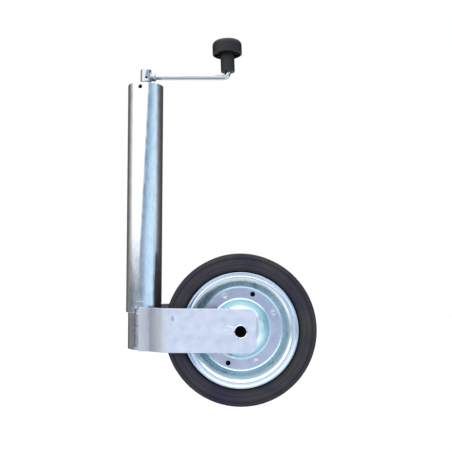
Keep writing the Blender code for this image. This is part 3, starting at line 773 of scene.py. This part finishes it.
def make_crank(bar, weld):
    """A bar flattened along its reach, bent up into a round upright under the knob."""
    tilt = math.atan2(-KNOB_AXIS.x, KNOB_AXIS.z)
    total = math.pi / 2 + tilt
    rise_of_bend = BEND_RADIUS * (1 - math.cos(total))
    climb = (KNOB_FOOT.z - CRANK_Z - rise_of_bend) / KNOB_AXIS.z
    bend_end_x = KNOB_FOOT.x - KNOB_AXIS.x * climb
    start_x = bend_end_x - BEND_RADIUS * math.sin(total)
    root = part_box("crank_arm")[0].x
    rings = []
    reach = start_x - root
    for k in range(13):
        share = k / 12
        swell = 1 + 0.02 * math.sin(9 * share)
        centre = Vector((root + reach * share, 0, CRANK_Z))
        rings.append(oval(centre, Vector((0, 0, 1)), BAR_HALF_HEIGHT * swell, BAR_HALF_DEPTH, power=2.5))
    for k in range(1, 13):
        share = k / 12
        turn = total * share
        ease = share * share * (3 - 2 * share)
        sine, cosine = math.sin(turn), math.cos(turn)
        centre = Vector((start_x + BEND_RADIUS * sine, 0, CRANK_Z + BEND_RADIUS * (1 - cosine)))
        up = Vector((-sine, 0, cosine))
        tall = BAR_HALF_HEIGHT + (UPRIGHT_RADIUS - BAR_HALF_HEIGHT) * ease
        wide = BAR_HALF_DEPTH + (UPRIGHT_RADIUS - BAR_HALF_DEPTH) * ease
        rings.append(oval(centre, up, tall, wide, power=2.5 - 0.5 * ease))
    up = Vector((-KNOB_AXIS.z, 0, KNOB_AXIS.x))
    for height in (0.0, 32.0 * MM):
        rings.append(oval(KNOB_FOOT + KNOB_AXIS * height, up, UPRIGHT_RADIUS, UPRIGHT_RADIUS))
    put("crank_arm_bent", loft("crank_arm", rings, 60), bar, "screw", "crank_arm")
    rings = []
    for x, top, below, depth in WELD_STATIONS:
        centre = Vector((x * MM, 0, CRANK_Z + (top - below) / 2 * MM))
        rings.append(oval(centre, Vector((0, 0, 1)), (top + below) / 2 * MM, depth * MM))
    mesh = loft("crank_weld", rings, 70)
    bead = put("crank_weld_bead", mesh, weld, "screw", "crank_weld")
    soften(bead, 2)
    outline = ring_outline(7.0, 4.3, 28.6, 30.0, 0.3)
    star = turned("knob_retainer", outline, 64)
    star.transform(knob_place())
    put("knob_retainer_star", star, bar, "screw", "knob_retainer")


def soften(piece, levels):
    """Rounds a coarse cage into a smooth surface."""
    surface = piece.modifiers.new("soft", "SUBSURF")
    surface.levels = levels
    surface.render_levels = levels
    apply_modifiers(piece)
    piece.data.shade_smooth()


def knob_place():
    tilt = math.atan2(KNOB_AXIS.x, KNOB_AXIS.z)
    return Matrix.Translation(KNOB_FOOT) @ Matrix.Rotation(tilt, 4, "Y")


RIB_COUNT = 8
RIB_SIZE = Vector((7.8, 1.8, 10.2)) * MM
RIB_RADIUS = 13.9 * MM
RIB_HEIGHT = 30.6 * MM


def make_knob(plastic):
    """Mushroom knob: a domed head with sloped shoulders, ribs in its hollow underside, and a long stem."""
    corners = [
        (0, 43.5, 0), (8.0, 43.5, 1.0), (13.4, 43.3, 2.4), (17.6, 41.8, 2.2), (19.6, 39.4, 1.8),
        (20.25, 36.8, 1.6), (20.25, 24.3, 0.9), (18.6, 23.3, 0.5), (17.8, 24.0, 0.4), (17.0, 34.8, 1.0),
        (12.0, 36.2, 1.2), (10.2, 24.0, 2.0), (9.6, 16.0, 5.0), (9.6, 0.5, 0.6), (8.9, 0, 0.3),
        (4.6, 0, 0.3), (4.6, 26.8, 0.3),
        (7.5, 27.6, 0.3), (7.5, 34.8, 0.3), (0, 34.8, 0),
    ]
    body = turned("knob", rounded(corners, steps=6), 128, closed=False, sharp=28)
    body.transform(knob_place())
    put("knob_moulded", body, plastic, "knob_grip", "knob")
    for i in range(RIB_COUNT):
        turn = TURN * (i + 0.5) / RIB_COUNT + math.radians(30)
        shape = bmesh.new()
        bmesh.ops.create_cube(shape, size=1.0)
        bmesh.ops.scale(shape, vec=RIB_SIZE, verts=shape.verts)
        bmesh.ops.bevel(shape, geom=shape.edges, offset=0.3 * MM, segments=2, affect="EDGES")
        mesh = finish_mesh(shape, f"knob_rib_{i + 1}")
        spot = Matrix.Rotation(turn, 4, "Z") @ Matrix.Translation((RIB_RADIUS, 0, RIB_HEIGHT))
        mesh.transform(knob_place() @ spot)
        rib = put(f"knob_rib_{i + 1}", mesh, plastic, "knob_grip")


# ---------------------------------------------------------------- fork

JOGGLE = [(-3.2, 21.5, 0), (11.8, 21.5, 9), (31.9, 31.0, 9), (152.5, 31.0, 0)]
STRIP = 4.0
ARM_BORE = 8.75
TIP_CORNER = 12


def arm_outline(side):
    """The arm's plan: its inner face out to the tip, and back along its outer face."""
    both = thickened(rounded(JOGGLE, steps=8), STRIP)
    return [(p.x * MM, side * p.y * MM) for p in both]


def make_arm(node, side, zinc):
    low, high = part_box(node)
    tip = high.x / MM
    bottom, top = low.z / MM, high.z / MM
    arm = put(node + "_strip", prism(node, arm_outline(side), low.z, high.z), zinc, "fork", node)
    corners = [(-10, top + 5, 0), (100, top + 5, 0), (100, top, 0)]
    corners += [(tip, top, TIP_CORNER), (tip, bottom, TIP_CORNER)]
    corners += [(100, bottom, 0), (100, bottom - 5, 0), (-10, bottom - 5, 0)]
    face = [(x * MM, z * MM) for x, z in rounded(corners, closed=True, steps=10)]
    trim = tool("trim", prism("trim", face, -60 * MM, 60 * MM), LOOK_NEAR)
    carve(arm, trim, operation="INTERSECT")
    carve(arm, drill(ARM_BORE, 90, Matrix.Translation(AXLE) @ LOOK_NEAR, 64))
    break_edges(arm, 0.6 * MM, angle=40)


REAR_WELD = [
    (-3.1, 21.2), (-3.1, 25.0), (-4.6, 24.7), (-6.6, 23.6), (-8.6, 21.6), (-9.8, 19.4), (-6.5, 20.2),
]
FRONT_WELD = [
    (7.5, 20.9), (7.5, 20.2), (10.0, 19.0), (12.3, 17.7), (13.2, 19.0), (13.0, 20.4), (12.4, 21.4),
]


def weld_bead(node, side, outline, weld, taper=0.0):
    """A fillet weld laid in short overlapping ripples, up the height of its node."""
    box_low, box_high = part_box(node)
    low, high = box_low.z, box_high.z
    count = 44
    rings = []
    for k in range(count + 1):
        share = k / count
        z = low + (high - low) * share
        ripple = 1 + 0.035 * math.sin(TURN * 13 * share) + 0.03 * noise.noise(Vector((share * 9, side, 0)))
        end = min(1.0, 0.55 + share * 14, 0.55 + (1 - share) * 14)
        pull = 1 - taper * max(0.0, (share - 0.86) / 0.14)
        anchor = Vector(outline[0])
        loop = []
        for point in outline:
            moved = anchor + (Vector(point) - anchor) * ripple * end * pull
            loop.append(Vector((moved.x * MM, side * moved.y * MM, z)))
        rings.append(loop)
    put(node + "_bead", loft(node, rings, 60), weld, "fork", node)


def make_fork(zinc, tube_zinc, weld, bar, dark_shade_steel):
    radius = INNER_HIGH.x / MM
    outline = ring_outline(radius, radius - TUBE_WALL, INNER_LOW.z / MM, INNER_HIGH.z / MM, 0.5)
    put("inner_tube_drawn", turned("inner_tube", outline, TUBE_STEPS), tube_zinc, "fork", "inner_tube")
    nut_low, nut_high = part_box("spindle_nut")
    nut = ring_outline(nut_high.x / MM, 8.2, nut_low.z / MM, nut_high.z / MM, 0.8)
    put("spindle_nut_turned", turned("spindle_nut", nut, 96), bar, "fork", "spindle_nut")
    for side_name, side in (("near", -1), ("far", 1)):
        make_arm("fork_arm_" + side_name, side, zinc)
        weld_bead("weld_rear_" + side_name, side, REAR_WELD, weld, taper=0.35)
        weld_bead("weld_front_" + side_name, side, FRONT_WELD, weld)
    make_axle(tube_zinc, dark_shade_steel)


BORE_DEPTH = 26.0
BORE_MOUTH = 7.2 * MM


def make_axle(zinc, dark_shade_steel):
    """A bar drilled at both ends, whose thin ends are flared over the arms."""
    half = size("axle").y / 2 / MM
    face = -ARM_LOW.y / MM
    bottom = face - BORE_DEPTH
    end = [
        (0, bottom + 3, 0), (6.8, bottom + 6, 0.5), (6.8, face - 1.4, 1.0), (7.5, half - 0.9, 1.2),
        (8.5, half - 0.05, 0.7), (9.25, half - 0.7, 0.5), (9.25, face + 0.35, 0.3), (8.5, face + 0.3, 0.2),
        (8.5, 0, 0),
    ]
    upper = rounded(end, steps=5)
    lower = [Vector((p.x, -p.y)) for p in reversed(upper)]
    mesh = turned("axle", upper + lower[1:], 96, closed=False)
    axle = put("axle_flared", mesh, zinc, "fork", "axle", Matrix.Translation(AXLE) @ LOOK_NEAR)
    # painted shade: the faces inside the drilled bores take the near-black material
    axle.data.materials.append(dark_shade_steel)
    for polygon in axle.data.polygons:
        centre = polygon.center
        if centre.xy.length < BORE_MOUTH and abs(centre.z) < (face + 0.2) * MM:
            polygon.material_index = 1
    for side_name in ("near", "far"):
        node = "axle_spacer_" + side_name
        low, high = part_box(node)
        inner = min(abs(low.y), abs(high.y)) / MM
        outer = max(abs(low.y), abs(high.y)) / MM
        outline = ring_outline(12.5, 8.8, inner, outer, 0.25)
        look = LOOK_NEAR if side_name == "near" else LOOK_FAR
        put(node + "_blanked", turned(node, outline, 96), zinc, "fork", node, Matrix.Translation(AXLE) @ look)


# ---------------------------------------------------------------- wheel

HOLE_CIRCLE = 49.2
DISC_HOLE = 3.4
DISC_SHEET = 1.8
RIM_STEPS = 288
HOLE_PHASE = math.radians(70.5)


def rim_outline():
    """The disc's outward face from its rolled edge to its hub, then back along its inner face."""
    face = [
        (77.25, 19.6, 0), (77.3, 21.3, 0.8), (76.3, 22.1, 0.9), (74.6, 22.0, 1.4), (72.4, 20.4, 1.2),
        (70.6, 20.9, 1.6), (68.6, 20.9, 2.2), (65.2, 18.6, 3.4), (60.2, 9.0, 3.0), (57.4, 5.2, 2.6),
        (55.2, 4.6, 1.2), (41.2, 4.6, 1.2), (39.2, 5.6, 1.0), (37.6, 7.4, 2.2), (31.5, 14.2, 4.0),
        (25.6, 17.7, 5.0), (19.0, 18.0, 2.0), (14.4, 18.0, 0),
    ]
    line = divided(rounded(face, steps=6), 1.6)
    return thickened(line[::-1], -DISC_SHEET)


def dimple(mesh):
    """Presses the spot welds into the flat of the disc."""
    depth, reach = 0.55 * MM, 4.6 * MM
    for vertex in mesh.vertices:
        if vertex.co.z > 8 * MM:
            continue
        for k in range(4):
            turn = HOLE_PHASE - math.radians(44.5) + TURN * k / 4
            spot = Vector((HOLE_CIRCLE * math.cos(turn), HOLE_CIRCLE * math.sin(turn))) * MM
            away = (vertex.co.xy - spot).length / reach
            if away < 1:
                vertex.co.z -= depth * (1 - away * away) ** 2


def make_rim(side_name, look, zinc, dark_shade_steel):
    mesh = turned("rim_" + side_name, rim_outline(), RIM_STEPS, sharp=40)
    dimple(mesh)
    at = Matrix.Translation(AXLE) @ look
    rim = put(f"rim_{side_name}_pressed", mesh, zinc, "wheel", "rim_" + side_name, at)
    drills = []
    for turn in (HOLE_PHASE, HOLE_PHASE + math.pi):
        spot = Vector((HOLE_CIRCLE * math.cos(turn), HOLE_CIRCLE * math.sin(turn), 3.7)) * MM
        drills.append(drill(DISC_HOLE, 6, at @ Matrix.Translation(spot), 40))
    carve(rim, *drills)
    rim.data.shade_smooth()
    rim.data.set_sharp_from_angle(angle=math.radians(40))
    paint_cavity_shade(rim, look, dark_shade_steel)


def paint_cavity_shade(rim, look, dark_shade_steel):
    """Paints shade on the faces that look into the hollow between the discs: they take the near-black
    material, as if no light reached them.
    """
    rim.data.materials.append(dark_shade_steel)
    inward = (look.to_3x3() @ Vector((0, 0, -1))).normalized()
    for face in rim.data.polygons:
        point = rim.matrix_world @ face.center - AXLE
        height = abs(point.y)
        radius = math.hypot(point.x, point.z)
        facing = (rim.matrix_world.to_3x3() @ face.normal).dot(inward)
        if radius < 66 * MM and height < 16.5 * MM and facing > 0.35:
            face.material_index = 1


RING_DEPTH = 0.07
RING_PITCH = 2.4


def make_tyre(rubber):
    """A solid tyre: a crowned tread, rounded shoulders, a scuff ring and fine moulding rings on the wall."""
    radius = size("tyre").z / 2 / MM
    wall = size("tyre").y / 2 / MM
    half = [
        (radius, 0, 0), (radius, 18.4, 8), (radius - 0.9, 22.0, 3), (radius - 3.6, 24.0, 3),
        (radius - 6.2, 24.4, 0.8), (radius - 6.9, 24.0, 0.6), (radius - 8.4, 24.7, 1.5),
        (92.0, wall - 0.1, 3), (84.0, wall - 0.05, 4), (79.7, 24.1, 1.6), (78.5, 22.4, 0.6),
        (78.3, 18.4, 0.5), (69.8, 18.4, 0.5),
        (68.4, 17.0, 1.0), (67.9, 14.0, 0), (67.9, 0, 0),
    ]
    line = divided(rounded(half, steps=6), 0.6)
    for point in line:
        if point.y > 22.5 and 80.5 < point.x < 92.5:
            point.y -= RING_DEPTH * (1 + math.cos(point.x * TURN / RING_PITCH))
    mirrored = [Vector((p.x, -p.y)) for p in reversed(line)]
    mesh = turned("tyre", line + mirrored[1:-1], RIM_STEPS, sharp=45)
    put("tyre_moulded", mesh, rubber, "wheel", "tyre", Matrix.Translation(AXLE) @ LOOK_NEAR)


def make_wheel(pressed, zinc, rubber, nylon, dark_shade_steel):
    make_rim("near", LOOK_NEAR, pressed, dark_shade_steel)
    make_rim("far", LOOK_FAR, pressed, dark_shade_steel)
    make_tyre(rubber)
    half = size("hub_tube").y / 2 / MM
    at = Matrix.Translation(AXLE)
    hub = ring_outline(14.0, 12.2, -half, half, 0.3)
    put("hub_tube_cut", turned("hub_tube", hub, 96), zinc, "wheel", "hub_tube", at @ LOOK_NEAR)
    for side_name, look in (("near", LOOK_NEAR), ("far", LOOK_FAR)):
        node = "hub_bush_" + side_name
        low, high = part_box(node)
        outer = max(abs(low.y), abs(high.y)) / MM
        corners = [
            (8.8, outer, 0.5), (14.0, outer, 0.6), (14.0, outer - 2.2, 0.2), (11.9, outer - 2.2, 0.2),
            (11.9, 6.0, 0.4), (8.8, 6.0, 0.4),
        ]
        put(node + "_flanged", turned(node, rounded(corners, True, 3), 96), nylon, "wheel", node, at @ look)


# ---------------------------------------------------------------- studio

WINDOW_LEAN = 2.9
SKY_STRENGTH = 1.5


def bands(reach, *colours):
    """A ramp's stops for an angle from -reach to reach degrees, from pairs of degrees and hex colour."""
    return [(0.5 + degrees / (2 * reach), code) for degrees, code in colours]


def between(start, end):
    """The range settings that rise from 0 to 1 as an angle goes from start to end degrees."""
    return {"From_Min": math.radians(start), "From_Max": math.radians(end)}


def make_surroundings():
    """A daylit workshop as the metal sees it, with a leaning window; the camera sees plain white."""
    world = bpy.data.worlds.new("studio")
    bpy.context.scene.world = world
    world.use_nodes = True
    tree = world.node_tree
    tree.nodes.clear()
    heading = add(tree, "ShaderNodeTexCoord").outputs["Generated"]
    spread = add(tree, "ShaderNodeSeparateXYZ", {"Vector": heading})
    toward = add(tree, "ShaderNodeMath", {0: spread.outputs["Y"]}, operation="MULTIPLY")
    toward.inputs[1].default_value = -1.0
    azimuth = add(tree, "ShaderNodeMath", {0: spread.outputs["X"], 1: toward}, operation="ARCTAN2")
    height = add(tree, "ShaderNodeMath", {0: spread.outputs["Z"]}, operation="ARCSINE")
    lift = add(tree, "ShaderNodeMath", {0: height}, operation="MULTIPLY")
    lift.inputs[1].default_value = -WINDOW_LEAN
    lean = add(tree, "ShaderNodeMath", {0: azimuth, 1: lift}, operation="ADD")

    around = add(tree, "ShaderNodeMapRange", {"Value": azimuth}, **between(-180, 180))
    upright = add(tree, "ShaderNodeMapRange", {"Value": height}, **between(-90, 90))
    leaning = add(tree, "ShaderNodeMapRange", {"Value": lean}, **between(-90, 90))
    sides = add(tree, "ShaderNodeValToRGB", {"Fac": around}, bands(
        180, (-180, "#2F2E2E"), (-160, "#3A3938"), (-128, "#5A5855"), (-116, "#645F5C"), (-106, "#8F8985"),
        (-92, "#B5AEAA"), (-80, "#E3DDD7"), (-70, "#FFFFFF"), (70, "#BFD1DE"), (80, "#BFD1DE"),
        (88, "#B0B5BE"), (101, "#7C7B81"), (121, "#4E4C51"), (150, "#403C3E"), (180, "#2F2E2E"),
    ))
    daylight = add(tree, "ShaderNodeValToRGB", {"Fac": leaning}, bands(
        90, (-22, "#FFFFFF"), (-17.5, "#778690"), (-8, "#778B9A"), (3, "#8CA2BA"), (14, "#A2BAD0"),
        (28, "#B3CCD9"), (45, "#BCD3DE"),
    ))
    inside = add(tree, "ShaderNodeValToRGB", {"Fac": around}, bands(
        180, (-82, "#000000"), (-68, "#FFFFFF"), (70, "#FFFFFF"), (82, "#000000"),
    ))
    upper = add(tree, "ShaderNodeMix", {"Factor": inside, 6: sides, 7: daylight}, data_type="RGBA")
    lower = add(tree, "ShaderNodeValToRGB", {"Fac": around}, bands(
        180, (-180, "#2F2E2E"), (-128, "#5F5C5A"), (-104, "#7C7671"), (-93, "#6D7171"), (-75, "#646A71"),
        (-58, "#79828A"), (-30, "#858D95"), (-16, "#7E8693"), (-4, "#8590A7"), (9, "#98A9C3"),
        (22, "#B0C5DC"), (62, "#BAD3DE"), (74, "#6B7887"), (88, "#343741"), (110, "#25272A"),
        (180, "#2F2E2E"),
    ))
    smooth = {"interpolation_type": "SMOOTHSTEP"}
    sinking = add(tree, "ShaderNodeMapRange", {"Value": height}, **smooth, **between(2.5, -4.5))
    walls = add(tree, "ShaderNodeMix", {"Factor": sinking, 6: upper, 7: lower}, data_type="RGBA")
    ground = add(tree, "ShaderNodeValToRGB", {"Fac": upright}, bands(
        90, (-90, "#5C6066"), (-72, "#6E737A"), (-58, "#D5DBE2"), (-24, "#E4E9EF"), (-15, "#C9D3DE"),
    ))
    dropping = add(tree, "ShaderNodeMapRange", {"Value": height}, **smooth, **between(-13, -20))
    below = add(tree, "ShaderNodeMix", {"Factor": dropping, 6: walls, 7: ground}, data_type="RGBA")
    ceiling = add(tree, "ShaderNodeValToRGB", {"Fac": upright}, bands(
        90, (30, "#FFFFFF"), (58, "#FFFFFF"), (74, "#BFC3C4"), (90, "#B4B8BA"),
    ))
    rising = add(tree, "ShaderNodeMapRange", {"Value": height}, **smooth, **between(30, 46))
    everything = add(tree, "ShaderNodeMix", {"Factor": rising, 6: below, 7: ceiling}, data_type="RGBA")

    seen = add(tree, "ShaderNodeBackground", {"Color": everything}, Strength=SKY_STRENGTH)
    plain = add(tree, "ShaderNodeBackground", Color=linear("#FFFFFF"), Strength=1.0)
    camera_ray = add(tree, "ShaderNodeLightPath").outputs["Is Camera Ray"]
    mix = add(tree, "ShaderNodeMixShader", {0: camera_ray, 1: seen, 2: plain})
    add(tree, "ShaderNodeOutputWorld", {"Surface": mix})
    bpy.context.scene.view_settings.view_transform = "Standard"


FLOOR_REACH = 2.4
FLOOR_GAP = 0.2 * MM
FLOOR_GLOW = 0.74


def make_floor():
    """Pale paper where the wheel reaches when the jack is wound right down; the mast hangs in its clamp."""
    shape = bmesh.new()
    bmesh.ops.create_grid(shape, x_segments=1, y_segments=1, size=FLOOR_REACH)
    floor = bpy.data.objects.new("floor", finish_mesh(shape, "floor"))
    bpy.context.scene.collection.objects.link(floor)
    floor.location = (AXLE.x, 0, GROUND - FLOOR_GAP)
    material, _, shader, _ = start_material("white_paper_floor", "#8C8C8D", 0.0, 0.9)
    shader.inputs["Emission Color"].default_value = linear("#FFFFFF")
    shader.inputs["Emission Strength"].default_value = FLOOR_GLOW
    floor.data.materials.append(material)
    floor.visible_glossy = False
    floor.visible_diffuse = False


SOFTBOX_PLACE = Vector((-0.1, -0.4, 1.9))
SOFTBOX_AIM = Vector((0.06, 0, -0.1))
SOFTBOX_SIZE = 1.6
SOFTBOX_WATTS = 12


def make_softbox():
    light = bpy.data.lights.new("overhead_softbox", "AREA")
    light.shape = "RECTANGLE"
    light.size = SOFTBOX_SIZE
    light.size_y = SOFTBOX_SIZE
    light.energy = SOFTBOX_WATTS
    lamp = bpy.data.objects.new("overhead_softbox", light)
    bpy.context.scene.collection.objects.link(lamp)
    lamp.location = SOFTBOX_PLACE
    lamp.rotation_euler = (SOFTBOX_AIM - SOFTBOX_PLACE).to_track_quat("-Z", "Y").to_euler()
    lamp.visible_camera = False


def make_studio():
    make_surroundings()
    make_floor()
    make_softbox()


def make_object():
    drawn, strip, pressed = drawn_zinc(), sheet_zinc(), pressed_zinc()
    bar, weld, steel = bright_zinc(), weld_zinc(), oiled_steel()
    rubber, plastic, nylon, dark_shade_steel = tyre_rubber(), knob_plastic(), bush_nylon(), dark_steel_and_painted_shade()
    make_mast(drawn, steel, dark_shade_steel)
    make_bearing(steel)
    make_spindle(drawn, bar, steel, dark_shade_steel)
    make_hub(bar)
    make_crank(bar, weld)
    make_knob(plastic)
    make_fork(strip, drawn, weld, bar, dark_shade_steel)
    make_wheel(pressed, bar, rubber, nylon, dark_shade_steel)
    even_normals()


make_camera()
make_studio()
make_object()
